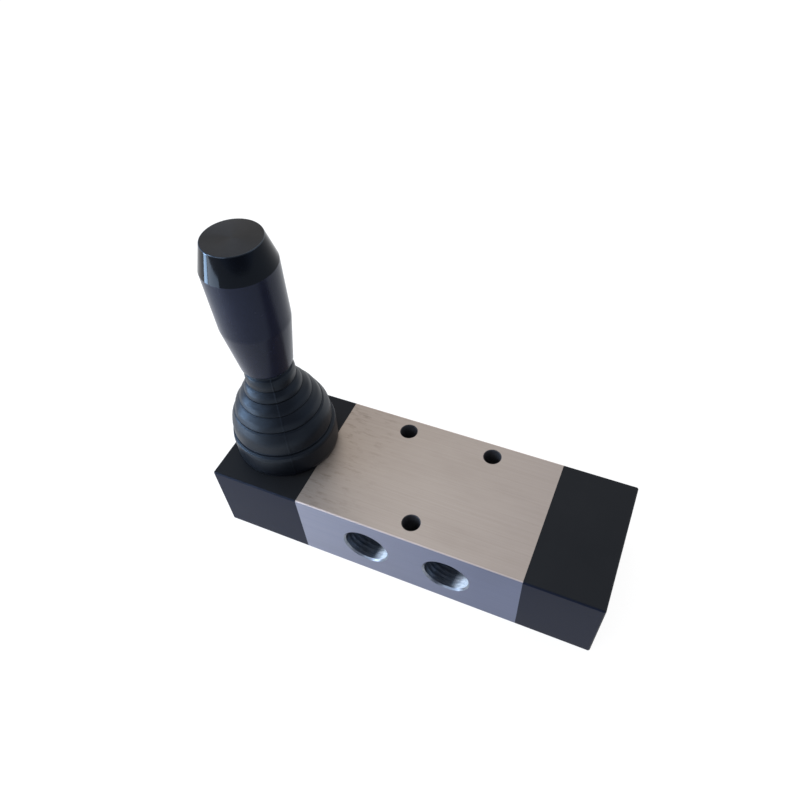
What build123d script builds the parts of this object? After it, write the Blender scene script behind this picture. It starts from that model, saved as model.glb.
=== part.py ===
from build123d import *
import math
import os

# Hand lever valve, five ports and three positions, centred by two springs.
# Millimetres.  The origin is the centre of the aluminium body's underside.
# +X runs along the spool from the lever cap to the blind cap, the two work ports
# face -Y, and +Z is up, along the lever.

# ---------------------------------------------------------------- driving dimensions
BODY_LENGTH = 58.2
WIDTH = 35.0
HEIGHT = 22.0
LEVER_CAP_LENGTH = 24.3
BLIND_CAP_LENGTH = 18.5
LEVER_X = -40.75               # lever axis, from the middle of the body
EDGE_RADIUS = 0.5
CAP_END_CHAMFER = 0.3
AXIS_HEIGHT = 11.5             # spool axis above the underside
BORE_RADIUS = 5.5

GROOVE_X = (-20.6, -10.7, 0.0, 10.7, 20.6)   # exhaust, work A, supply, work B, exhaust
GROOVE_RADIUS = 7.2
GROOVE_WIDTH = 5.0

LARGE_PORT_RADIUS = 5.73       # 1/4 inch pipe thread, at its crests
SMALL_PORT_RADIUS = 4.3        # 1/8 inch pipe thread, at its crests
PORT_DEPTH = 9.6
PORT_CHAMFER = 0.45
PORT_DUCT_RADIUS = 3.6

MOUNT_HOLE_RADIUS = 2.2
MOUNT_HOLE_CHAMFER = 0.15
REAR_HOLE_PITCH = 23.2
REAR_HOLE_Y = 13.34
FRONT_HOLE_Y = -12.44

SCREW_Y = 14.0                 # cap screws, at the four corners of each end
SCREW_Z = 7.0                  # above and below the spool axis
SCREW_RADIUS = 1.5
SCREW_CLEARANCE = 0.15
SCREW_REACH = 7.5              # thread engaged in the body
SCREW_HOLE_SPARE = 1.0         # left empty beyond the screw's tip
THREAD_FIT = 0.02
HEAD_RADIUS = 2.75
HEAD_HEIGHT = 3.0
HEAD_RECESS = 3.3
HEAD_CLEARANCE = 0.25
HEAD_CHAMFER = 0.3
HEX_KEY = 2.5
HEX_DEPTH = 1.4

GASKET_THICKNESS = 0.6
GASKET_MARGIN = 1.0
GASKET_CORNER = 1.5
GASKET_OPENING = 7.5
GASKET_RECESS_SPARE = 0.1

PIVOT_HEIGHT = 19.0
PIN_RADIUS = 1.5
PIN_HALF_LENGTH = 11.8
WASHER_RADIUS = 2.6
HUB_RADIUS = 4.0
HUB_HALF_WIDTH = 3.4
BALL_RADIUS = 2.4
FINGER_RADIUS = 1.7
ROD_RADIUS = 3.0
STUD_RADIUS = 2.5
STUD_TOP = 66.0
LEVER_SLOT = (10.8, 9.2)       # opening for the lever, along X and along Y
LEVER_SLOT_CORNER = 1.5
RUNNING_GAP = 0.05

BOSS_NECK_RADIUS = 10.2
BOSS_LIP_RADIUS = 11.2
BOSS_NECK_HEIGHT = 1.6
BOSS_HEIGHT = 2.8
BOSS_CHAMFER = 0.5
BOSS_ROOT = 1.0                # how far the boss runs down into the cap

CAP_BORE_RADIUS = 5.0
CAP_COUNTERBORE = (6.0, 3.8)   # radius and depth, where the spool's end land comes out
CAP_END_WALL = 1.75
BLIND_POCKET_RADIUS = 6.0
BLIND_POCKET_DEPTH = 13.8

SPOOL_LAND_RADIUS = 5.42
SPOOL_NECK_RADIUS = 3.4
SEAL_X = (-26.0, -17.4, -3.2, 3.2, 17.4, 26.0)
SEAL_SECTION = 0.75
SEAL_OUTER_RADIUS = 5.46
SEAL_SLOT_HALF = 0.8
LAND_HALF = 1.3
LAND_CHAMFER = 0.25
SPRING_GUIDE = 0.6             # how far the spool reaches out of the body
SPRING_GUIDE_CHAMFER = 0.5

YOKE_RADIUS = 4.4
YOKE_LEFT = LEVER_X - 4.3
YOKE_RIGHT = LEVER_X + 7.5
YOKE_CHAMFER = 0.4
YOKE_NOSE = (1.8, 1.0)         # radius and length of the spring's guide
YOKE_FLAT = 2.5                # flat above the spool axis
YOKE_SLOT = (4.92, 5.2, 3.0)   # along X, along Y, and depth below the spool axis
SPIGOT_RADIUS = 2.0
SPIGOT_LENGTH = 4.4

# Mean radius, wire radius and number of turns of each spring.
LEVER_END_SPRING = (2.7, 0.35, 3)
BLIND_END_SPRING = (4.4, 0.45, 7)

GRIP_BOTTOM = 50.2
GRIP_TOP = 83.8
GRIP_FOOT_RADIUS = 6.2
GRIP_FOOT_CHAMFER = 0.5
GRIP_SHOULDER = 63.2           # the lower cone meets the barrel here
GRIP_SHOULDER_RADIUS = 8.05
GRIP_BEVEL = 77.7
GRIP_RADIUS = 8.3
GRIP_TOP_RADIUS = 6.45
GRIP_BLEND = 9.0
STUD_HOLE_SPARE = 0.5

BOOT_RADIUS = 13.4
BOOT_TOP = 49.9
BOOT_WALL = 1.3
BOOT_BASE_HEIGHT = 7.2
BOOT_GROOVE_DEPTH = 0.4
# Height above the cap, radius at the tier's foot and at its top, from the bottom tier up.
BOOT_TIERS = (
    (8.1, 12.35, 11.05),
    (14.4, 10.55, 9.0),
    (17.9, 8.7, 7.5),
    (20.7, 7.2, 6.5),
    (23.5, 6.25, 5.9),
)

BODY_END = BODY_LENGTH / 2
PIVOT_TO_BALL = PIVOT_HEIGHT - AXIS_HEIGHT


# ---------------------------------------------------------------- shared shapes
def turned_x(points):
    """Solid of revolution about the spool axis, from (x, radius) points."""
    face = make_face(Polyline(*points, close=True))
    return Pos(0, 0, AXIS_HEIGHT) * revolve(face, Axis.X, 360)


def turned_z(points):
    """Solid of revolution about the lever's axis at rest, from (radius, z) points."""
    face = make_face(Plane.XZ * Polyline(*points, close=True))
    return Pos(LEVER_X, 0, 0) * revolve(face, Axis.Z, 360)


def rod_x(radius, x0, x1, y=0.0, z=AXIS_HEIGHT):
    """Cylinder along X from x0 to x1."""
    return Pos((x0 + x1) / 2, y, z) * Rot(0, 90, 0) * Cylinder(radius, abs(x1 - x0))


def rod_y(radius, y0, y1, x, z):
    """Cylinder along Y from y0 to y1."""
    return Pos(x, (y0 + y1) / 2, z) * Rot(90, 0, 0) * Cylinder(radius, abs(y1 - y0))


def block(x0, x1):
    """Block of the valve's full section between two planes, its long edges rounded."""
    solid = Pos((x0 + x1) / 2, 0, HEIGHT / 2) * Box(x1 - x0, WIDTH, HEIGHT)
    return fillet(solid.edges().filter_by(Axis.X), EDGE_RADIUS)


def screw_places():
    """Positions (y, z) of the four cap screws at each end."""
    return [(y, AXIS_HEIGHT + z) for y in (-SCREW_Y, SCREW_Y) for z in (-SCREW_Z, SCREW_Z)]


# ---------------------------------------------------------------- valve body
def port(x, side, radius):
    """Threaded port from the face at side * WIDTH / 2 in to the bore's annular groove."""
    face = side * WIDTH / 2
    bottom = side * (WIDTH / 2 - PORT_DEPTH)
    hole = rod_y(radius, face, bottom, x, AXIS_HEIGHT)
    duct = rod_y(PORT_DUCT_RADIUS, bottom, side * BORE_RADIUS, x, AXIS_HEIGHT)
    mouth = Cone(radius, radius + PORT_CHAMFER, PORT_CHAMFER)
    mouth = Pos(x, face - side * PORT_CHAMFER / 2, AXIS_HEIGHT) * Rot(-90 * side, 0, 0) * mouth
    return hole + duct + mouth


def mounting_hole(x, y):
    """Hole right through the body from top to bottom, chamfered at both mouths."""
    wide = MOUNT_HOLE_RADIUS + MOUNT_HOLE_CHAMFER
    hole = Pos(x, y, HEIGHT / 2) * Cylinder(MOUNT_HOLE_RADIUS, HEIGHT)
    upper = Cone(MOUNT_HOLE_RADIUS, wide, MOUNT_HOLE_CHAMFER)
    lower = Cone(wide, MOUNT_HOLE_RADIUS, MOUNT_HOLE_CHAMFER)
    hole += Pos(x, y, HEIGHT - MOUNT_HOLE_CHAMFER / 2) * upper
    return hole + Pos(x, y, MOUNT_HOLE_CHAMFER / 2) * lower


def valve_body():
    solid = block(-BODY_END, BODY_END)
    solid -= rod_x(BORE_RADIUS, -BODY_END, BODY_END)
    for x in GROOVE_X:
        solid -= rod_x(GROOVE_RADIUS, x - GROOVE_WIDTH / 2, x + GROOVE_WIDTH / 2)
    exhaust_left, work_a, supply, work_b, exhaust_right = GROOVE_X
    for x in (work_a, work_b):
        solid -= port(x, -1, LARGE_PORT_RADIUS)
    solid -= port(supply, 1, LARGE_PORT_RADIUS)
    for x in (exhaust_left, exhaust_right):
        solid -= port(x, 1, SMALL_PORT_RADIUS)
    for x in (-REAR_HOLE_PITCH / 2, REAR_HOLE_PITCH / 2):
        solid -= mounting_hole(x, REAR_HOLE_Y)
    solid -= mounting_hole(0, FRONT_HOLE_Y)
    for y, z in screw_places():
        for end in (-1, 1):
            deep = end * (BODY_END - SCREW_REACH - SCREW_HOLE_SPARE)
            solid -= rod_x(SCREW_RADIUS + THREAD_FIT, end * BODY_END, deep, y, z)
    return solid


# ---------------------------------------------------------------- end caps and what holds them
def gasket(face_x, side, opening_radius, grow=0.0):
    """Flat gasket lying on the cap's side of the plane face_x; grow widens its outline."""
    width = WIDTH - 2 * GASKET_MARGIN + grow
    height = HEIGHT - 2 * GASKET_MARGIN + grow
    sheet = Box(GASKET_THICKNESS, width, height)
    sheet = fillet(sheet.edges().filter_by(Axis.X), GASKET_CORNER)
    sheet = Pos(face_x + side * GASKET_THICKNESS / 2, 0, HEIGHT / 2) * sheet
    if opening_radius:
        ends = (face_x, face_x + side * GASKET_THICKNESS)
        sheet -= rod_x(opening_radius, *ends)
        for y, z in screw_places():
            sheet -= rod_x(SCREW_RADIUS + SCREW_CLEARANCE, *ends, y, z)
    return sheet


def cap_block(x0, x1, inner_x, outer_x):
    """Cap with its gasket recess, screw holes and the recesses for the screw heads."""
    solid = block(x0, x1)
    outer_edges = solid.faces().sort_by(lambda f: abs(f.center().X - outer_x))[0].edges()
    solid = chamfer(outer_edges, CAP_END_CHAMFER)
    away = 1 if outer_x > inner_x else -1
    solid -= gasket(inner_x, away, 0.0, grow=GASKET_RECESS_SPARE)
    for y, z in screw_places():
        solid -= rod_x(SCREW_RADIUS + SCREW_CLEARANCE, inner_x, outer_x, y, z)
        seat = outer_x - away * HEAD_RECESS
        solid -= rod_x(HEAD_RADIUS + HEAD_CLEARANCE, outer_x, seat, y, z)
    return solid


def boot_boss():
    """Round boss with an undercut neck, which the boot's foot snaps over."""
    return turned_z([
        (0, HEIGHT - BOSS_ROOT),
        (BOSS_NECK_RADIUS, HEIGHT - BOSS_ROOT),
        (BOSS_NECK_RADIUS, HEIGHT + BOSS_NECK_HEIGHT),
        (BOSS_LIP_RADIUS, HEIGHT + BOSS_NECK_HEIGHT),
        (BOSS_LIP_RADIUS, HEIGHT + BOSS_HEIGHT - BOSS_CHAMFER),
        (BOSS_LIP_RADIUS - BOSS_CHAMFER, HEIGHT + BOSS_HEIGHT),
        (0, HEIGHT + BOSS_HEIGHT),
    ])


def lever_cap():
    outer_x = -BODY_END - LEVER_CAP_LENGTH
    solid = cap_block(outer_x, -BODY_END, -BODY_END, outer_x)
    solid += boot_boss()
    counter_radius, counter_depth = CAP_COUNTERBORE
    solid -= rod_x(counter_radius, -BODY_END, -BODY_END - counter_depth)
    solid -= rod_x(CAP_BORE_RADIUS, -BODY_END, outer_x + CAP_END_WALL)
    top = HEIGHT + BOSS_HEIGHT
    slot = Box(LEVER_SLOT[0], LEVER_SLOT[1], top - AXIS_HEIGHT)
    slot = fillet(slot.edges().filter_by(Axis.Z), LEVER_SLOT_CORNER)
    solid -= Pos(LEVER_X, 0, (top + AXIS_HEIGHT) / 2) * slot
    solid -= rod_y(PIN_RADIUS, -PIN_HALF_LENGTH, WIDTH / 2, LEVER_X, PIVOT_HEIGHT)
    return solid


def blind_cap():
    outer_x = BODY_END + BLIND_CAP_LENGTH
    solid = cap_block(BODY_END, outer_x, BODY_END, outer_x)
    return solid - rod_x(BLIND_POCKET_RADIUS, BODY_END, BODY_END + BLIND_POCKET_DEPTH)


def cap_screws(outer_x):
    """Four socket head screws, their heads sunk in the cap's outer face."""
    away = 1 if outer_x > 0 else -1
    seat = outer_x - away * HEAD_RECESS
    tip = away * (BODY_END - SCREW_REACH)
    top = seat + away * HEAD_HEIGHT
    screws = []
    for y, z in screw_places():
        screw = rod_x(HEAD_RADIUS, seat, top, y, z)
        rim = screw.faces().sort_by(lambda f: -away * f.center().X)[0].edges()
        screw = chamfer(rim, HEAD_CHAMFER)
        screw += rod_x(SCREW_RADIUS, tip, seat, y, z)
        key = extrude(RegularPolygon(HEX_KEY / math.sqrt(3), 6), HEX_DEPTH)
        screw -= Pos(top, y, z) * Rot(0, -90 * away, 0) * key
        screws.append(screw)
    return Compound(children=screws)


# ---------------------------------------------------------------- spool and its pieces
def spool():
    """Spool with six sealed lands, a threaded spigot for the yoke and a spring guide."""
    outline = [(YOKE_RIGHT - SPIGOT_LENGTH, 0), (YOKE_RIGHT - SPIGOT_LENGTH, SPIGOT_RADIUS)]
    outline += [(YOKE_RIGHT, SPIGOT_RADIUS), (YOKE_RIGHT, SPOOL_NECK_RADIUS)]
    slot_radius = SEAL_OUTER_RADIUS - 2 * SEAL_SECTION
    for x in SEAL_X:
        outline += [
            (x - LAND_HALF, SPOOL_NECK_RADIUS),
            (x - LAND_HALF, SPOOL_LAND_RADIUS - LAND_CHAMFER),
            (x - LAND_HALF + LAND_CHAMFER, SPOOL_LAND_RADIUS),
            (x - SEAL_SLOT_HALF, SPOOL_LAND_RADIUS),
            (x - SEAL_SLOT_HALF, slot_radius),
            (x + SEAL_SLOT_HALF, slot_radius),
            (x + SEAL_SLOT_HALF, SPOOL_LAND_RADIUS),
            (x + LAND_HALF - LAND_CHAMFER, SPOOL_LAND_RADIUS),
            (x + LAND_HALF, SPOOL_LAND_RADIUS - LAND_CHAMFER),
            (x + LAND_HALF, SPOOL_NECK_RADIUS),
        ]
    guide_end = BODY_END + SPRING_GUIDE
    outline += [
        (guide_end - SPRING_GUIDE_CHAMFER, SPOOL_NECK_RADIUS),
        (guide_end, SPOOL_NECK_RADIUS - SPRING_GUIDE_CHAMFER),
        (guide_end, 0),
    ]
    return turned_x(outline)


def spool_seal(x):
    ring_radius = SEAL_OUTER_RADIUS - SEAL_SECTION
    section = SEAL_SECTION - THREAD_FIT / 2
    return Pos(x, 0, AXIS_HEIGHT) * Rot(0, 90, 0) * Torus(ring_radius, section)


def spool_yoke():
    """Yoke on the spool's end: a flat on top and a slot that the lever's ball moves."""
    solid = rod_x(YOKE_RADIUS, YOKE_LEFT, YOKE_RIGHT)
    solid = chamfer(solid.edges(), YOKE_CHAMFER)
    nose_radius, nose_length = YOKE_NOSE
    solid += rod_x(nose_radius, YOKE_LEFT - nose_length, YOKE_LEFT)
    above = Box(YOKE_RIGHT - YOKE_LEFT, 2 * YOKE_RADIUS, YOKE_RADIUS)
    middle = (YOKE_LEFT + YOKE_RIGHT) / 2
    solid -= Pos(middle, 0, AXIS_HEIGHT + YOKE_FLAT + YOKE_RADIUS / 2) * above
    slot_x, slot_y, depth = YOKE_SLOT
    slot = Box(slot_x, slot_y, depth + YOKE_FLAT)
    solid -= Pos(LEVER_X, 0, AXIS_HEIGHT + (YOKE_FLAT - depth) / 2) * slot
    return solid - rod_x(SPIGOT_RADIUS + THREAD_FIT, YOKE_RIGHT - SPIGOT_LENGTH, YOKE_RIGHT)


def coil_spring(x0, x1, mean_radius, wire_radius, turns):
    """Open coil spring between two seats on the spool axis."""
    first = x0 + wire_radius
    height = x1 - x0 - 2 * wire_radius
    pitch = height / turns
    path = Helix(pitch, height, mean_radius, center=(first, 0, AXIS_HEIGHT), direction=(1, 0, 0))
    section = Plane(path @ 0, z_dir=path % 0) * Circle(wire_radius)
    return sweep(section, path=path, is_frenet=True)


# ---------------------------------------------------------------- lever
def pivot_pin():
    pin = rod_y(PIN_RADIUS, -PIN_HALF_LENGTH, PIN_HALF_LENGTH, LEVER_X, PIVOT_HEIGHT)
    return chamfer(pin.edges().filter_by(GeomType.CIRCLE), 0.3)


def pivot_washer(side):
    """Washer between the lever's hub and the wall of the cap's slot."""
    near = side * (HUB_HALF_WIDTH + RUNNING_GAP)
    far = side * (LEVER_SLOT[1] / 2 - RUNNING_GAP)
    ring = rod_y(WASHER_RADIUS, near, far, LEVER_X, PIVOT_HEIGHT)
    return ring - rod_y(PIN_RADIUS + RUNNING_GAP, near, far, LEVER_X, PIVOT_HEIGHT)


def lever_rod():
    """Rod with a hub on the pivot pin, a finger with a ball below and a stud above."""
    groove_z = BOOT_TOP - 3.0
    rod = turned_z([
        (0, PIVOT_HEIGHT),
        (ROD_RADIUS, PIVOT_HEIGHT),
        (ROD_RADIUS, groove_z - 0.9),
        (ROD_RADIUS - 0.4, groove_z - 0.5),
        (ROD_RADIUS - 0.4, groove_z + 0.5),
        (ROD_RADIUS, groove_z + 0.9),
        (ROD_RADIUS, GRIP_BOTTOM),
        (STUD_RADIUS, GRIP_BOTTOM),
        (STUD_RADIUS, STUD_TOP - 0.5),
        (STUD_RADIUS - 0.5, STUD_TOP),
        (0, STUD_TOP),
    ])
    hub = Sphere(HUB_RADIUS) & Box(3 * HUB_RADIUS, 2 * HUB_HALF_WIDTH, 3 * HUB_RADIUS)
    finger = Pos(0, 0, -PIVOT_TO_BALL / 2) * Cylinder(FINGER_RADIUS, PIVOT_TO_BALL)
    ball = Pos(0, 0, -PIVOT_TO_BALL) * Sphere(BALL_RADIUS)
    rod += Pos(LEVER_X, 0, PIVOT_HEIGHT) * (hub + finger + ball)
    bore = rod_y(PIN_RADIUS + RUNNING_GAP, -HUB_RADIUS, HUB_RADIUS, LEVER_X, PIVOT_HEIGHT)
    return rod - bore


def grip():
    """Turned grip: a cone blended into a barrel, a bevel and a flat end, bored for the stud."""
    blend_start, blend_end = grip_blend_points()
    foot = GRIP_BOTTOM + GRIP_FOOT_CHAMFER
    heel_radius = GRIP_FOOT_RADIUS - GRIP_FOOT_CHAMFER
    outline = [
        Line((0, GRIP_BOTTOM), (heel_radius, GRIP_BOTTOM)),
        Line((heel_radius, GRIP_BOTTOM), (GRIP_FOOT_RADIUS, foot)),
        Line((GRIP_FOOT_RADIUS, foot), blend_start),
        RadiusArc(blend_start, blend_end, -GRIP_BLEND),
        Line(blend_end, (GRIP_RADIUS, GRIP_BEVEL)),
        Line((GRIP_RADIUS, GRIP_BEVEL), (GRIP_TOP_RADIUS, GRIP_TOP)),
        Line((GRIP_TOP_RADIUS, GRIP_TOP), (0, GRIP_TOP)),
        Line((0, GRIP_TOP), (0, GRIP_BOTTOM)),
    ]
    face = make_face([Plane.XZ * line for line in outline])
    solid = Pos(LEVER_X, 0, 0) * revolve(face, Axis.Z, 360)
    depth = STUD_TOP - GRIP_BOTTOM + STUD_HOLE_SPARE
    hole = Cylinder(STUD_RADIUS + THREAD_FIT, depth)
    return solid - Pos(LEVER_X, 0, GRIP_BOTTOM + depth / 2) * hole


def grip_blend_points():
    """Where the blend touches the cone and the barrel."""
    foot = GRIP_BOTTOM + GRIP_FOOT_CHAMFER
    cone = math.atan2(GRIP_SHOULDER_RADIUS - GRIP_FOOT_RADIUS, GRIP_SHOULDER - foot)
    barrel = math.atan2(GRIP_RADIUS - GRIP_SHOULDER_RADIUS, GRIP_BEVEL - GRIP_SHOULDER)
    reach = GRIP_BLEND * math.tan((cone - barrel) / 2)
    on_cone = (
        GRIP_SHOULDER_RADIUS - reach * math.sin(cone),
        GRIP_SHOULDER - reach * math.cos(cone),
    )
    on_barrel = (
        GRIP_SHOULDER_RADIUS + reach * math.sin(barrel),
        GRIP_SHOULDER + reach * math.cos(barrel),
    )
    return on_cone, on_barrel


def boot():
    """Rubber boot: a foot that grips the boss, a groove, and tiers up to a collar."""
    groove_z = BOOT_TIERS[0][0] + HEIGHT
    base_top = HEIGHT + BOOT_BASE_HEIGHT
    outer = [
        (BOOT_RADIUS - 0.4, HEIGHT),
        (BOOT_RADIUS, HEIGHT + 0.6),
        (BOOT_RADIUS, base_top - 0.5),
        (BOOT_RADIUS - 0.5, base_top),
        (BOOT_TIERS[0][1] - BOOT_GROOVE_DEPTH, base_top + 0.2),
        (BOOT_TIERS[0][1] - BOOT_GROOVE_DEPTH, groove_z - 0.2),
    ]
    inner = [
        (BOSS_NECK_RADIUS + 0.05, HEIGHT),
        (BOSS_NECK_RADIUS + 0.05, HEIGHT + BOSS_NECK_HEIGHT - 0.05),
        (BOSS_LIP_RADIUS + 0.05, HEIGHT + BOSS_NECK_HEIGHT - 0.05),
        (BOSS_LIP_RADIUS + 0.05, HEIGHT + BOSS_HEIGHT + 0.3),
    ]
    tops = [tier[0] for tier in BOOT_TIERS[1:]] + [BOOT_TOP - HEIGHT - 0.5]
    for (foot, foot_radius, top_radius), top in zip(BOOT_TIERS, tops):
        middle = (foot + top) / 2
        bulge = (foot_radius + top_radius) / 2 + 0.07 * (top - foot)
        outer += [(foot_radius, HEIGHT + foot), (bulge, HEIGHT + middle)]
        outer += [(top_radius, HEIGHT + top)]
        inner += [(bulge - BOOT_WALL, HEIGHT + middle - 0.8)]
    collar_radius = BOOT_TIERS[-1][2]
    outer += [(collar_radius - 0.5, BOOT_TOP)]
    inner += [(ROD_RADIUS + 0.6, BOOT_TOP - 3.6), (ROD_RADIUS + 0.05, BOOT_TOP - 2.4)]
    inner += [(ROD_RADIUS + 0.05, BOOT_TOP)]
    return turned_z(outer + inner[::-1])


# ---------------------------------------------------------------- the assembly
def pieces():
    """Every node of the valve by name."""
    lever_end = -BODY_END - LEVER_CAP_LENGTH
    blind_end = BODY_END + BLIND_CAP_LENGTH
    found = {
        "valve_body": valve_body(),
        "lever_cap": lever_cap(),
        "blind_cap": blind_cap(),
        "lever_cap_gasket": gasket(-BODY_END, -1, GASKET_OPENING),
        "blind_cap_gasket": gasket(BODY_END, 1, GASKET_OPENING),
        "lever_cap_screws": cap_screws(lever_end),
        "blind_cap_screws": cap_screws(blind_end),
        "spool": spool(),
        "spool_yoke": spool_yoke(),
        "lever_end_spring": coil_spring(
            lever_end + CAP_END_WALL, YOKE_LEFT, *LEVER_END_SPRING),
        "blind_end_spring": coil_spring(
            SEAL_X[-1] + LAND_HALF, BODY_END + BLIND_POCKET_DEPTH, *BLIND_END_SPRING),
        "pivot_pin": pivot_pin(),
        "pivot_washer_front": pivot_washer(-1),
        "pivot_washer_rear": pivot_washer(1),
        "lever_rod": lever_rod(),
        "grip": grip(),
        "boot": boot(),
    }
    for number, x in enumerate(SEAL_X, start=1):
        found[f"spool_seal_{number}"] = spool_seal(x)
    return found


def main():
    os.makedirs("parts", exist_ok=True)
    for name, shape in pieces().items():
        export_step(shape, f"parts/{name}.step")


main()
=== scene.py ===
"""Looks of the hand lever air valve: brushed aluminium, satin black caps, rubber boot, turned grip.

Lengths are in metres. X runs from the lever cap to the blind cap, the work ports face minus Y, Z is up.
"""
import math

import bmesh
import bpy
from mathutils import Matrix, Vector


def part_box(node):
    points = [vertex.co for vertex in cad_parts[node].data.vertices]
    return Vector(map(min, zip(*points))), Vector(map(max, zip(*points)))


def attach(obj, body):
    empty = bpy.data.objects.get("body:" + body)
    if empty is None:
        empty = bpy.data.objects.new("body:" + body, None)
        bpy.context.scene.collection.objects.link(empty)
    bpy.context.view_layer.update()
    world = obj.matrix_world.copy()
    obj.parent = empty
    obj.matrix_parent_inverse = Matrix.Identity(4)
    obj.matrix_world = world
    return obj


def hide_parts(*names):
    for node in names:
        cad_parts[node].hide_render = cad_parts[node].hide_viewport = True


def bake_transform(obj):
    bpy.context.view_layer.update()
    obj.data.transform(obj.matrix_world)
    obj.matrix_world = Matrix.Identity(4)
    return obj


MM = 0.001

# ---------------------------------------------------------------- the frame and its main places
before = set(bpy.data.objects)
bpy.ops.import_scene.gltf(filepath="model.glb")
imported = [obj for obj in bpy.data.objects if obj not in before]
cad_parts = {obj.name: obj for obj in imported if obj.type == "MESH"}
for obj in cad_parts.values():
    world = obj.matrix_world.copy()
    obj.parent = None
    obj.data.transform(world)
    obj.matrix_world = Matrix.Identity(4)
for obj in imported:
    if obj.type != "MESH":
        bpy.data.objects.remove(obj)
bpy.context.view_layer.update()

body_low, body_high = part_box("valve_body")
boot_low, boot_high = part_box("boot")
grip_low, grip_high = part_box("grip")

lever_x = (boot_low[0] + boot_high[0]) / 2
lever_y = (boot_low[1] + boot_high[1]) / 2
body_half_width = body_high[1]
spool_axis_z = 11.5 * MM
boot_foot_radius = (boot_high[0] - boot_low[0]) / 2
grip_radius = (grip_high[0] - grip_low[0]) / 2

FRONT = -1
REAR = 1
# Threads: radius at the crests, and pitch.
LARGE_THREAD = (5.73 * MM, 1.337 * MM)
SMALL_THREAD = (4.3 * MM, 0.907 * MM)
# Ports: x, face, thread.
PORTS = {
    "work_a": (-10.7 * MM, FRONT, LARGE_THREAD),
    "work_b": (10.7 * MM, FRONT, LARGE_THREAD),
    "supply": (0.0, REAR, LARGE_THREAD),
    "exhaust_left": (-20.6 * MM, REAR, SMALL_THREAD),
    "exhaust_right": (20.6 * MM, REAR, SMALL_THREAD),
}
# Mounting holes: x, y.
MOUNTING_HOLES = ((-11.6 * MM, 13.34 * MM), (11.6 * MM, 13.34 * MM), (0.0, -12.44 * MM))

BLACK = (0.0, 0.0, 0.0, 1.0)
WHITE = (1.0, 1.0, 1.0, 1.0)


# ---------------------------------------------------------------- node helpers
class Nodes:
    """A material being built, with short calls for the nodes it needs.

    Sockets are named by keywords, with _ in place of a space.
    """

    def __init__(self, name):
        self.material = bpy.data.materials.new(name)
        self.material.use_nodes = True
        self.tree = self.material.node_tree
        self.shader = self.tree.nodes["Principled BSDF"]

    def set(self, **values):
        for label, value in values.items():
            self.shader.inputs[label.replace("_", " ")].default_value = value
        return self

    def add(self, kind, **inputs):
        node = self.tree.nodes.new(kind)
        for label, value in inputs.items():
            node.inputs[label.replace("_", " ")].default_value = value
        return node

    def link(self, source, target):
        self.tree.links.new(source, target)

    def place(self, scale=(1, 1, 1)):
        """Object coordinates, stretched by scale."""
        coordinates = self.add("ShaderNodeTexCoord")
        mapping = self.add("ShaderNodeMapping", Scale=scale)
        self.link(coordinates.outputs["Object"], mapping.inputs["Vector"])
        return mapping.outputs["Vector"]

    def noise(self, scale, stretch=(1, 1, 1), detail=3.0, roughness=0.5):
        """Noise from 0 to 1 over the object, finer where stretch is larger."""
        node = self.add("ShaderNodeTexNoise", Scale=scale, Detail=detail, Roughness=roughness)
        self.link(self.place(stretch), node.inputs["Vector"])
        return node.outputs["Fac"]

    def ramp(self, value, low, high, stops):
        """Value between low and high turned into the colours of stops."""
        node = self.add("ShaderNodeValToRGB")
        ends = node.color_ramp.elements
        ends[0].position, ends[1].position = low, high
        ends[0].color, ends[1].color = stops[0], stops[-1]
        for number, colour in enumerate(stops[1:-1], start=1):
            step = ends.new(low + (high - low) * number / (len(stops) - 1))
            step.color = colour
        self.link(value, node.inputs["Fac"])
        return node.outputs["Color"]

    def span(self, value, low, high):
        """Value from 0 to 1 spread from low to high."""
        node = self.add("ShaderNodeMapRange", To_Min=low, To_Max=high)
        self.link(value, node.inputs["Value"])
        return node.outputs["Result"]

    def between(self, value, start, end, interpolation="LINEAR"):
        """0 up to where value is start, rising to 1 where it is end."""
        node = self.add("ShaderNodeMapRange", From_Min=start, From_Max=end)
        node.interpolation_type = interpolation
        self.link(value, node.inputs["Value"])
        return node.outputs["Result"]

    def dot(self, vector, direction):
        """Dot product of a node's vector and a fixed direction."""
        node = self.add("ShaderNodeVectorMath")
        node.operation = "DOT_PRODUCT"
        self.link(vector, node.inputs[0])
        node.inputs[1].default_value = direction
        return node.outputs["Value"]

    def math(self, operation, *values):
        node = self.add("ShaderNodeMath")
        node.operation = operation
        for value, socket in zip(values, node.inputs):
            if isinstance(value, (int, float)):
                socket.default_value = value
            else:
                self.link(value, socket)
        return node.outputs[0]

    def axis(self, kind, output, letter):
        """One component of a vector that a node of this kind gives."""
        source = self.add(kind)
        parts = self.add("ShaderNodeSeparateXYZ")
        self.link(source.outputs[output], parts.inputs["Vector"])
        return parts.outputs[letter]

    def mix(self, factor, first, second, mode="MIX"):
        """Two colours put together: factor 0 gives the first, and 1 the second or their mode's result."""
        node = self.add("ShaderNodeMix")
        node.data_type = "RGBA"
        node.blend_type = mode
        for value, socket in ((factor, node.inputs[0]), (first, node.inputs[6]), (second, node.inputs[7])):
            if isinstance(value, (int, float, tuple)):
                socket.default_value = value
            else:
                self.link(value, socket)
        return node.outputs[2]

    def multiply(self, first, second):
        """Product of two colours."""
        return self.mix(1.0, first, second, "MULTIPLY")

    def bump(self, height, strength, distance, below=None):
        node = self.add("ShaderNodeBump", Strength=strength, Distance=distance)
        self.link(height, node.inputs["Height"])
        if below:
            self.link(below, node.inputs["Normal"])
        return node.outputs["Normal"]

    def finish(self, colour=None, roughness=None, normal=None):
        for label, value in (("Base Color", colour), ("Roughness", roughness), ("Normal", normal)):
            if value is not None:
                self.link(value, self.shader.inputs[label])
        return self.material


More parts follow.
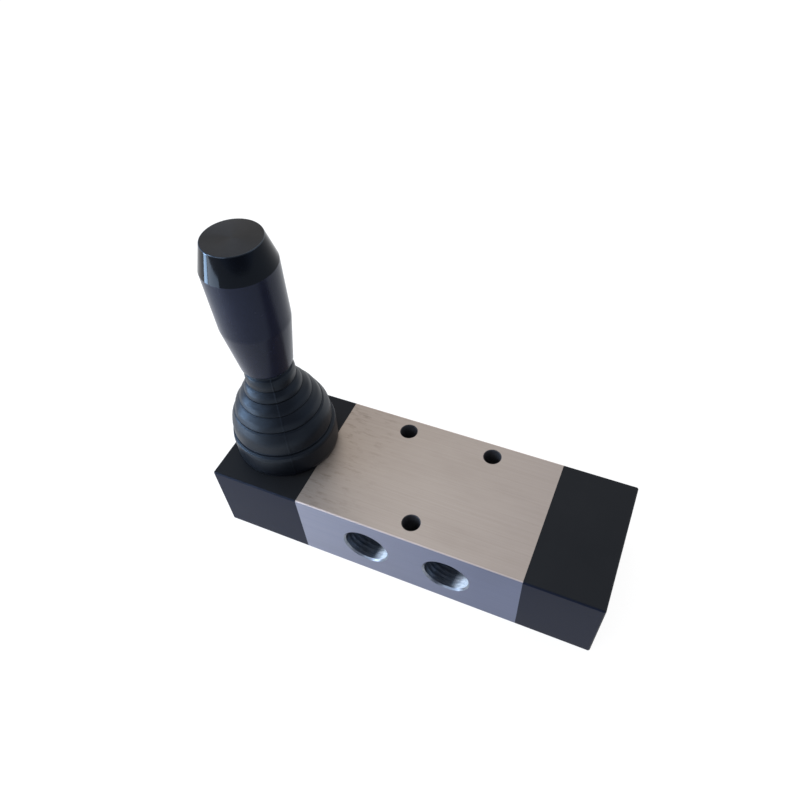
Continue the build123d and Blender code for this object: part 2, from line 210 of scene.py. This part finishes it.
# ---------------------------------------------------------------- materials
def brushed_aluminium():
    """Extruded and brushed along the body, with fine streaks and warm broad faces. Painted light: narrow
    faces darker and bluer in painted cool shade, a painted falloff along the body, painted edge highlights.
    """
    look = Nodes("aluminium_brushed").set(Metallic=0.6, Specular_IOR_Level=0.3)
    fine = look.noise(1.0, (90, 14000, 14000), detail=2.0)
    streaks = look.noise(1.0, (30, 2600, 2600))
    x = look.axis("ShaderNodeTexCoord", "Object", "X")
    steep = look.math("ABSOLUTE", look.axis("ShaderNodeNewGeometry", "Normal", "Y"))
    flat = look.math("SUBTRACT", 1.0, steep)

    # Painted light falloff: the broad faces are drawn darker toward both ends of the body.
    broad = look.ramp(streaks, 0.2, 0.8, [(0.34, 0.305, 0.278, 1), (0.385, 0.347, 0.319, 1)])
    falloff_stops = [(0.95, 0.92, 0.89, 1), (1, 0.99, 0.985, 1), (0.89, 0.88, 0.89, 1)]
    painted_falloff = look.ramp(look.between(x, body_low[0], body_high[0]), 0.0, 1.0, falloff_stops)
    # Painted cool shade: the narrow front and rear faces are drawn darker and bluer than the broad faces.
    shaded_narrow = look.ramp(streaks, 0.2, 0.8, [(0.115, 0.13, 0.2, 1), (0.135, 0.15, 0.22, 1)])
    base = look.mix(steep, look.multiply(broad, painted_falloff), shaded_narrow)

    # Painted light: the narrow faces are drawn paler and less blue toward the lever end, as if lit from
    # there.
    toward_lever = look.between(x, body_high[0] - 10 * MM, body_low[0])
    painted_lit_narrow = look.multiply(base, (1.85, 1.7, 1.44, 1.0))
    base = look.mix(look.math("MULTIPLY", toward_lever, steep), base, painted_lit_narrow)

    # Painted highlight: the rounded long edges are drawn as a pale warm line.
    edge_highlight = look.ramp(steep, 0.04, 0.9, [BLACK, WHITE, (0.9, 0.9, 0.9, 1), BLACK])
    base = look.mix(edge_highlight, base, (0.53, 0.445, 0.4, 1.0))

    # Faint stains and scratches lie everywhere.
    stains = look.noise(1.0, (34, 80, 80), detail=5.0, roughness=0.6)
    mottled = look.ramp(stains, 0.3, 0.7, [(0.93, 0.925, 0.92, 1), WHITE, (1.02, 1.02, 1.02, 1)])
    marks = look.noise(1.0, (110, 4200, 4200), detail=2.0, roughness=0.6)
    scratched = look.ramp(marks, 0.7, 0.82, [WHITE, (0.8, 0.78, 0.76, 1)])
    colour = look.multiply(look.multiply(base, mottled), scratched)

    # Darker spots lie on the broad faces near the lever.
    lever_end_spots = look.noise(1.0, (260, 900, 900), detail=4.0, roughness=0.65)
    spotted = look.ramp(lever_end_spots, 0.52, 0.68, [WHITE, (0.72, 0.7, 0.68, 1)])
    near_lever = look.between(x, body_low[0] + 20 * MM, body_low[0])
    colour = look.mix(look.math("MULTIPLY", near_lever, flat), colour, look.multiply(colour, spotted))

    normal = look.bump(fine, 0.1, 0.02 * MM, look.bump(streaks, 0.08, 0.03 * MM))
    return look.finish(colour, look.span(streaks, 0.38, 0.46), normal)


def cut_aluminium():
    """Port walls: dull cut metal, with a painted highlight near the mouth on the walls that face up and
    toward the lever.
    """
    look = Nodes("aluminium_cut")
    rings = look.noise(1.0, (700, 3600, 700), detail=2.0)
    dull = look.ramp(rings, 0.3, 0.7, [(0.13, 0.15, 0.185, 1), (0.26, 0.285, 0.335, 1)])
    highlight_colour = look.ramp(rings, 0.36, 0.6, [(0.6, 0.63, 0.68, 1), (0.97, 0.98, 1, 1)])
    normal = look.add("ShaderNodeNewGeometry").outputs["Normal"]
    # Painted highlight: walls near the mouth that face up and toward the lever are drawn bright and less
    # metallic.
    turned = look.ramp(look.dot(normal, (-0.8, 0.0, 0.6)), 0.74, 0.96, [BLACK, WHITE])
    from_middle = look.math("ABSOLUTE", look.axis("ShaderNodeTexCoord", "Object", "Y"))
    shallow = look.between(from_middle, body_half_width - 6 * MM, body_half_width - 3 * MM)
    painted_highlight = look.math("MULTIPLY", turned, shallow)
    look.link(look.span(painted_highlight, 0.85, 0.1), look.shader.inputs["Metallic"])
    colour = look.mix(painted_highlight, dull, highlight_colour)
    return look.finish(colour, look.span(rings, 0.26, 0.36), look.bump(rings, 0.25, 0.04 * MM))


def shaded_hole_wall():
    """Walls of the mounting holes: drilled and dull, drawn dark as painted shade."""
    look = Nodes("aluminium_hole_shade").set(Specular_IOR_Level=0.1)
    rings = look.noise(1.0, (700, 700, 3000), detail=2.0)
    # Painted shade: the hole walls are drawn near black.
    colour = look.ramp(rings, 0.3, 0.7, [(0.055, 0.055, 0.06, 1), (0.07, 0.07, 0.076, 1)])
    return look.finish(colour, look.span(rings, 0.5, 0.62))


def satin_black():
    """Caps: fine grained satin black, with painted cool shade, bluer, on the front and rear faces."""
    look = Nodes("cap_black").set(Specular_IOR_Level=0.13, Specular_Tint=(0.62, 0.76, 1.0, 1.0))
    grain = look.noise(5200.0)
    cloud = look.noise(60.0, detail=4.0)
    broad = look.ramp(cloud, 0.3, 0.75, [(0.0095, 0.0096, 0.01, 1), (0.013, 0.0131, 0.0134, 1)])
    # Painted cool shade: the front and rear faces are drawn bluer than the top.
    shaded_narrow = look.ramp(cloud, 0.3, 0.75, [(0.0012, 0.003, 0.0125, 1), (0.0025, 0.0045, 0.0155, 1)])
    steep = look.math("ABSOLUTE", look.axis("ShaderNodeNewGeometry", "Normal", "Y"))
    colour = look.mix(steep, broad, shaded_narrow)
    return look.finish(colour, look.span(cloud, 0.42, 0.52), look.bump(grain, 0.2, 0.03 * MM))


def boot_rubber():
    """Moulded rubber: satin, with a fine grain and pale scuffs."""
    look = Nodes("boot_rubber").set(Specular_IOR_Level=0.3, Specular_Tint=(0.58, 0.76, 1.0, 1.0))
    grain = look.noise(3500.0)
    cloud = look.noise(110.0, detail=4.0)
    scuff = look.noise(1.0, (420, 420, 1500), detail=6.0, roughness=0.7)
    dark = look.ramp(cloud, 0.3, 0.7, [(0.0025, 0.0027, 0.004, 1), (0.005, 0.0053, 0.007, 1)])
    worn = look.ramp(scuff, 0.68, 0.8, [BLACK, (0.7, 0.7, 0.7, 1)])
    colour = look.mix(worn, dark, (0.04, 0.047, 0.06, 1.0))
    return look.finish(colour, look.span(cloud, 0.38, 0.48), look.bump(grain, 0.1, 0.03 * MM))


def grip_black(name, dark, light, rough, metallic, shine):
    """Turned grip: fine rings round the lever's axis under a black finish."""
    look = Nodes(name).set(
        Metallic=metallic, Specular_IOR_Level=shine, Specular_Tint=(0.66, 0.8, 1.0, 1.0))
    rings = look.noise(1.0, (120, 120, 7000), detail=2.0)
    cloud = look.noise(90.0)
    colour = look.ramp(cloud, 0.3, 0.7, [dark, light])
    return look.finish(colour, look.span(cloud, *rough), look.bump(rings, 0.1, 0.01 * MM))


def grip_end():
    """Faced end of the grip: concentric tool marks that catch the light in a fan."""
    look = Nodes("grip_end").set(Metallic=0.8, Anisotropic=0.85)
    coordinates = look.add("ShaderNodeTexCoord")
    centre = look.add("ShaderNodeMapping", Location=(-lever_x, -lever_y, 0))
    look.link(coordinates.outputs["Object"], centre.inputs["Vector"])
    rings = look.add("ShaderNodeTexWave", Scale=1500.0, Distortion=0.6)
    rings.wave_type = "RINGS"
    rings.rings_direction = "Z"
    look.link(centre.outputs["Vector"], rings.inputs["Vector"])
    tangent = look.add("ShaderNodeTangent")
    tangent.direction_type = "RADIAL"
    tangent.axis = "Z"
    look.link(tangent.outputs["Tangent"], look.shader.inputs["Tangent"])
    cloud = look.noise(140.0)
    colour = look.ramp(cloud, 0.3, 0.7, [(0.014, 0.0155, 0.0185, 1), (0.023, 0.025, 0.0285, 1)])
    return look.finish(colour, look.span(cloud, 0.3, 0.38), look.bump(rings.outputs["Fac"], 0.15, 0.01 * MM))


def plain_metal(name, dark, light, roughness):
    """Small inner metal pieces: turned or drawn, slightly uneven."""
    look = Nodes(name).set(Metallic=1.0)
    cloud = look.noise(2500.0)
    colour = look.ramp(cloud, 0.3, 0.7, [dark, light])
    return look.finish(colour, look.span(cloud, roughness, roughness + 0.14))


def plain_soft(name, dark, light, roughness):
    """Small inner rubber and nylon pieces."""
    look = Nodes(name)
    cloud = look.noise(1800.0)
    colour = look.ramp(cloud, 0.3, 0.7, [dark, light])
    rough = look.span(cloud, roughness, roughness + 0.15)
    return look.finish(colour, rough, look.bump(cloud, 0.1, 0.02 * MM))


def dress_nodes():
    """Every CAD node gets its finish. One that isn't named here is a rubber seal or is replaced below."""
    body = brushed_aluminium()
    cap = satin_black()
    steel = plain_metal("steel", (0.42, 0.42, 0.43, 1), (0.6, 0.6, 0.61, 1), 0.25)
    black_steel = plain_metal("steel_blackened", (0.03, 0.03, 0.033, 1), (0.06, 0.06, 0.065, 1), 0.3)
    spring = plain_metal("spring_steel", (0.4, 0.4, 0.4, 1), (0.55, 0.55, 0.55, 1), 0.28)
    turned = plain_metal("aluminium_turned", (0.6, 0.6, 0.61, 1), (0.75, 0.75, 0.76, 1), 0.2)
    brass = plain_metal("brass", (0.6, 0.42, 0.17, 1), (0.72, 0.53, 0.24, 1), 0.24)
    rubber = plain_soft("seal_rubber", (0.012, 0.012, 0.013, 1), (0.022, 0.022, 0.024, 1), 0.4)
    nylon = plain_soft("nylon", (0.72, 0.7, 0.65, 1), (0.82, 0.8, 0.76, 1), 0.45)
    finishes = {
        "valve_body": body,
        "lever_cap": cap,
        "blind_cap": cap,
        "lever_cap_screws": black_steel,
        "blind_cap_screws": black_steel,
        "lever_cap_gasket": rubber,
        "blind_cap_gasket": rubber,
        "lever_end_spring": spring,
        "blind_end_spring": spring,
        "pivot_pin": steel,
        "lever_rod": steel,
        "pivot_washer_front": nylon,
        "pivot_washer_rear": nylon,
        "spool": turned,
        "spool_yoke": brass,
    }
    for name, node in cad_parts.items():
        if node.type == "MESH":
            node.data.materials.clear()
            node.data.materials.append(finishes.get(name, rubber))
    line_holes(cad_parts["valve_body"])


def line_holes(node):
    """The body's port and mounting hole walls get their own finishes."""
    port_wall, mounting_wall = 1, 2
    countersink_reach = 1.2 * MM
    wall_start = 5 * MM
    wall_end = body_half_width - 0.02 * MM
    mounting_reach = 2.4 * MM
    skin = 0.01 * MM
    for material in (cut_aluminium(), shaded_hole_wall()):
        node.data.materials.append(material)
    for face in node.data.polygons:
        x, y, z = node.matrix_world @ face.center
        for port_x, side, (crest, _) in PORTS.values():
            near = math.hypot(x - port_x, z - spool_axis_z) < crest + countersink_reach
            if near and wall_start < side * y < wall_end:
                face.material_index = port_wall
        for hole_x, hole_y in MOUNTING_HOLES:
            near = math.hypot(x - hole_x, y - hole_y) < mounting_reach
            if near and skin < z < body_high[2] - skin:
                face.material_index = mounting_wall


# ---------------------------------------------------------------- mesh helpers
def rounded(points, steps=6):
    """Outline through (radius, z, fillet) points, with a smooth bend in place of each corner."""
    most = 0.48
    outline = []
    for number, (radius, z, fillet) in enumerate(points):
        corner = Vector((radius, z))
        if fillet == 0 or number in (0, len(points) - 1):
            outline.append(corner)
            continue
        before = Vector(points[number - 1][:2]) - corner
        after = Vector(points[number + 1][:2]) - corner
        angle = before.angle(after)
        reach = min(fillet / math.tan(angle / 2), most * before.length, most * after.length)
        start = corner + before.normalized() * reach
        end = corner + after.normalized() * reach
        for step in range(steps + 1):
            part = step / steps
            outline.append(start * (1 - part) ** 2 + corner * 2 * part * (1 - part) + end * part ** 2)
    return outline


def add_piece(name, mesh):
    """Object in the scene made from a bmesh, which is used up."""
    data = bpy.data.meshes.new(name)
    mesh.to_mesh(data)
    mesh.free()
    piece = bpy.data.objects.new(name, data)
    bpy.context.scene.collection.objects.link(piece)
    return piece


def lathe(name, outline, centre, segments, shape=None):
    """Turn an outline of (radius, z) about a vertical axis through centre."""
    mesh = bmesh.new()
    rings = []
    for radius, z in outline:
        if radius == 0:
            rings.append([mesh.verts.new((centre[0], centre[1], z))])
            continue
        ring = []
        for step in range(segments):
            angle = 2 * math.pi * step / segments
            reach = shape(radius, z, angle) if shape else radius
            ring.append(mesh.verts.new((
                centre[0] + reach * math.cos(angle), centre[1] + reach * math.sin(angle), z)))
        rings.append(ring)
    for low, high in zip(rings, rings[1:]):
        for step in range(segments):
            after = (step + 1) % segments
            corners = [low[step % len(low)], low[after % len(low)],
                       high[after % len(high)], high[step % len(high)]]
            unique = list(dict.fromkeys(corners))
            if len(unique) > 2:
                mesh.faces.new(unique)
    bmesh.ops.recalc_face_normals(mesh, faces=mesh.faces)
    piece = add_piece(name, mesh)
    for face in piece.data.polygons:
        face.use_smooth = True
    return piece


# ---------------------------------------------------------------- boot
# Tiers from the bottom up, in mm: height above the boot's underside, radius at the foot, at the top.
TIERS = (
    (8.1, 12.6, 11.25),
    (14.4, 10.9, 9.2),
    (17.9, 8.95, 7.45),
    (20.7, 7.1, 6.2),
    (23.5, 6.0, 5.7),
)


def boot_outline():
    """Foot with a rolled rim, a groove, tiers that step in one above the other, and a collar."""
    z0 = boot_low[2]
    height = (boot_high[2] - z0) / MM
    foot = boot_foot_radius / MM
    points = [
        (foot - 1.2, 0.02, 0),
        (foot - 0.25, 0.02, 0.3),
        (foot - 0.02, 1.2, 0.8),
        (foot - 0.02, 6.2, 0.5),
        (foot - 0.2, 7.15, 0.3),
        (foot - 0.75, 7.5, 0.4),
        (12.3, 7.55, 0.12),
        (12.15, 7.9, 0.1),
    ]
    tops = [tier[0] for tier in TIERS[1:]] + [height - 0.7]
    for (low, foot_radius, top_radius), top in zip(TIERS, tops):
        run = top - low
        bulge = (foot_radius + top_radius) / 2 + 0.09 * run
        points += [
            (foot_radius - 0.15, low + 0.02, 0.15),
            (foot_radius + 0.1, low + 0.35, 0.3),
            (bulge, low + 0.55 * run, run),
            (top_radius + 0.12, top - 0.35, 0.35),
            (top_radius - 0.25, top - 0.02, 0.15),
        ]
    collar = TIERS[-1][2]
    points += [(collar - 0.2, height - 0.3, 0.3), (collar - 0.8, height, 0.3), (3.1, height, 0)]
    return [(r * MM, z0 + z * MM) for r, z in rounded(points)]


def mould(radius, z, angle):
    """Radius of the boot's skin with two thin mould lines and a slight unevenness."""
    seam_angle = math.radians(-52)
    seam_width = 0.12 * MM
    # In mm. The skin is sunk a little, so that its lines stay within the CAD boot.
    seam_height = 0.11
    sunk = 0.08
    seam = 0.0
    for side in (0, math.pi):
        away = math.remainder(angle - seam_angle - side, 2 * math.pi)
        seam += math.exp(-(away * radius / seam_width) ** 2)
    uneven = 0.045 * math.sin(3 * angle + 900 * z) + 0.03 * math.sin(7 * angle - 1400 * z)
    return radius + (seam_height * seam - sunk + uneven) * MM


def boot():
    """Rubber boot turned round the lever's axis from the tiered outline, with mould lines, in place of the
    CAD boot.
    """
    piece = lathe("boot_skin", boot_outline(), (lever_x, lever_y), segments=360, shape=mould)
    piece.data.materials.append(boot_rubber())
    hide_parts("boot")
    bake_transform(piece)


# ---------------------------------------------------------------- springs
def springs():
    """Each spring is a copy of its CAD node, which it replaces."""
    for name, toward_spool in (("lever_end_spring", 1), ("blind_end_spring", -1)):
        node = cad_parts[name]
        piece = bpy.data.objects.new(f"{name}_coils", node.data.copy())
        piece.matrix_world = node.matrix_world.copy()
        bpy.context.scene.collection.objects.link(piece)
        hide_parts(name)
        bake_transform(piece)


# ---------------------------------------------------------------- grip
def grip():
    """Turned grip: cone, blended barrel, polished bevel, a thin shiny rim and a faced end."""
    # The outline is worked out in mm.
    z0, z1 = grip_low[2] / MM, grip_high[2] / MM
    radius = grip_radius / MM
    foot, top = radius - 2.05, radius - 1.8
    shoulder, bevel = z0 + 13.0, z1 - 6.0
    rim_height = 0.36
    points = [
        (3.2, z0, 0),
        (foot - 0.35, z0, 0.25),
        (foot, z0 + 0.5, 0.3),
        (radius - 0.2, shoulder, 9.0),
        (radius, bevel, 0.15),
        (top, z1, 0.3),
        (0, z1, 0),
    ]
    outline = [(r * MM, z * MM) for r, z in rounded(points, steps=10)]
    piece = lathe("grip_turned", outline, (lever_x, lever_y), segments=192)
    # The barrel is black, with a painted blue-violet reflection of the room in its colour.
    barrel = grip_black(
        "grip_barrel", dark=(0.0052, 0.006, 0.0165, 1), light=(0.008, 0.009, 0.022, 1),
        rough=(0.22, 0.3), metallic=0.05, shine=0.21)
    polished = grip_black(
        "grip_bevel", dark=(0.001, 0.0014, 0.0028, 1), light=(0.002, 0.0026, 0.0045, 1),
        rough=(0.06, 0.1), metallic=0.0, shine=0.14)
    rim = grip_black(
        "grip_rim", dark=(0.002, 0.0025, 0.004, 1), light=(0.003, 0.0036, 0.0055, 1),
        rough=(0.08, 0.12), metallic=0.0, shine=0.8)
    on_bevel, on_end, on_rim = 1, 2, 3
    for material in (barrel, polished, grip_end(), rim):
        piece.data.materials.append(material)
    for face in piece.data.polygons:
        if face.normal.z > 0.95:
            face.material_index = on_end
        elif face.center.z > (z1 - rim_height) * MM:
            face.material_index = on_rim
        elif face.center.z > (bevel + 0.05) * MM:
            face.material_index = on_bevel
    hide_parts("grip")
    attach(piece, "lever")


# ---------------------------------------------------------------- port threads
def port_thread(name, x, side, crest, pitch):
    """Thread in a port: a vee ridge that rises at the countersunk mouth and winds inward."""
    depth = 8.6 * MM
    start = body_half_width - 0.5 * MM
    ridge_height = 0.045 * pitch
    wall = crest - 0.01 * MM
    per_turn = 72
    fade_in = 0.6 * per_turn
    # The ridge's four edges: place within the pitch, and share of its height.
    edges = ((0.1, 0.0), (0.45, 1.0), (0.55, 1.0), (0.9, 0.0))
    mesh = bmesh.new()
    rows = []
    for step in range(int(depth / pitch * per_turn) + 1):
        angle = 2 * math.pi * step / per_turn
        along = step / per_turn * pitch
        fade = min(1.0, step / fade_in)
        row = []
        for place, height in edges:
            radius = wall - ridge_height * height * fade
            y = side * (start - along - place * pitch)
            row.append(mesh.verts.new((
                x + radius * math.cos(angle), y, spool_axis_z + side * radius * math.sin(angle))))
        rows.append(row)
    for row, following in zip(rows, rows[1:]):
        for number in range(len(edges) - 1):
            mesh.faces.new((
                row[number], row[number + 1], following[number + 1], following[number]))
    return add_piece(name, mesh)


def threads():
    """One thread piece in each port."""
    metal = cut_aluminium()
    for name, (x, side, (crest, pitch)) in PORTS.items():
        piece = port_thread(f"thread_{name}", x, side, crest, pitch)
        piece.data.materials.append(metal)
        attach(piece, "body")


# ---------------------------------------------------------------- floor, light and camera
def seen_directly(look):
    """1 for camera, glossy and transmission rays, 0 for the diffuse rays that light the valve."""
    path = look.add("ShaderNodeLightPath")
    either = look.math("MAXIMUM", path.outputs["Is Camera Ray"], path.outputs["Is Glossy Ray"])
    return look.math("MAXIMUM", either, path.outputs["Is Transmission Ray"])


def floor():
    """White paper under the valve, which glows where it is seen directly or mirrored."""
    half = 3.0
    corners = [(-half, -half, 0), (half, -half, 0), (half, half, 0), (-half, half, 0)]
    mesh = bpy.data.meshes.new("floor")
    mesh.from_pydata(corners, [], [(0, 1, 2, 3)])
    plane = bpy.data.objects.new("floor", mesh)
    bpy.context.scene.collection.objects.link(plane)
    look = Nodes("floor_paper").set(Roughness=0.9)
    speckle = look.noise(30.0, detail=2.0)
    look.finish(look.ramp(speckle, 0.2, 0.8, [(0.86, 0.86, 0.86, 1), (0.88, 0.88, 0.88, 1)]))
    glow = look.add("ShaderNodeEmission", Strength=1.13)
    glow_share = look.math("MULTIPLY", seen_directly(look), 0.8)
    blend = look.add("ShaderNodeMixShader")
    look.link(glow_share, blend.inputs[0])
    look.link(look.shader.outputs["BSDF"], blend.inputs[1])
    look.link(glow.outputs["Emission"], blend.inputs[2])
    look.link(blend.outputs["Shader"], look.tree.nodes["Material Output"].inputs["Surface"])
    mesh.materials.append(look.material)


# Soft patches of the studio: direction, cosine where it fades out and where it is full, colour.
STUDIO = (
    ((-0.25, 0.62, 0.75), 0.1, 0.9, (0.92, 0.87, 0.82, 1)),
    ((-0.95, -0.15, 0.25), 0.55, 0.95, (0.8, 1.05, 1.5, 1)),
    ((0.55, -0.6, 0.5), 0.6, 0.9, (0.26, 0.27, 0.31, 1)),
)


class WorldNodes(Nodes):
    """The world being built, with the same short calls."""

    def __init__(self, name):
        self.world = bpy.data.worlds.new(name)
        self.world.use_nodes = True
        self.tree = self.world.node_tree
        self.shader = self.tree.nodes["Background"]


def studio():
    """A pale bluish room: warm behind and above, bright and cool on the left, dim on the front right."""
    look = WorldNodes("studio")
    toward = look.add("ShaderNodeTexCoord").outputs["Generated"]
    colour = (0.68, 0.76, 0.9, 1)
    for direction, faded, full, tint in STUDIO:
        cosine = look.dot(toward, Vector(direction).normalized())
        colour = look.mix(look.between(cosine, faded, full, "SMOOTHSTEP"), colour, tint)
    look.link(colour, look.shader.inputs["Color"])
    bpy.context.scene.world = look.world


def area_light(name, place, target, size, energy, colour):
    data = bpy.data.lights.new(name, "AREA")
    data.shape = "RECTANGLE"
    data.size, data.size_y = size
    data.energy = energy
    data.color = colour
    lamp = bpy.data.objects.new(name, data)
    lamp.location = place
    aim = Vector(target) - Vector(place)
    lamp.rotation_euler = aim.to_track_quat("-Z", "Y").to_euler()
    bpy.context.scene.collection.objects.link(lamp)


def lights():
    """Three soft lamps round the valve, and two small cool ones that the grip and the boot mirror."""
    middle = (-0.01, 0.0, 0.03)
    body_foot = (-0.03, 0.0, 0.02)
    boot_foot = (-0.03, 0.0, 0.035)
    area_light("top", (-0.1, 0.3, 0.8), middle, (0.6, 0.6), 0.8, (1.0, 0.96, 0.92))
    area_light("window", (-0.62, -0.37, 0.5), middle, (0.25, 0.25), 1.7, (0.7, 0.85, 1.0))
    area_light("near_front", (-0.14, -0.12, 0.03), body_foot, (0.09, 0.06), 0.13, (0.74, 0.86, 1.0))
    area_light("near_left", (-0.2, -0.075, 0.05), boot_foot, (0.04, 0.09), 0.2, (0.5, 0.72, 1.0))
    area_light("front", (-0.25, -0.75, 0.48), middle, (0.5, 0.25), 1.1, (0.8, 0.88, 1.0))


def camera():
    """The photograph's view, fitted to the valve's edges."""
    data = bpy.data.cameras.new("camera")
    data.sensor_width = 36.0
    data.lens = 29.82
    data.shift_x = -0.0019
    data.shift_y = 0.0468
    data.clip_start = 0.005
    eye = bpy.data.objects.new("camera", data)
    eye.location = (37.66 * MM, -87.08 * MM, 157.84 * MM)
    eye.rotation_euler = [math.radians(turn) for turn in (38.9, 2.888, 23.637)]
    bpy.context.scene.collection.objects.link(eye)
    bpy.context.scene.camera = eye


# ---------------------------------------------------------------- the scene
dress_nodes()
boot()
springs()
grip()
threads()
floor()
studio()
lights()
camera()
bpy.context.scene.view_settings.view_transform = "Standard"
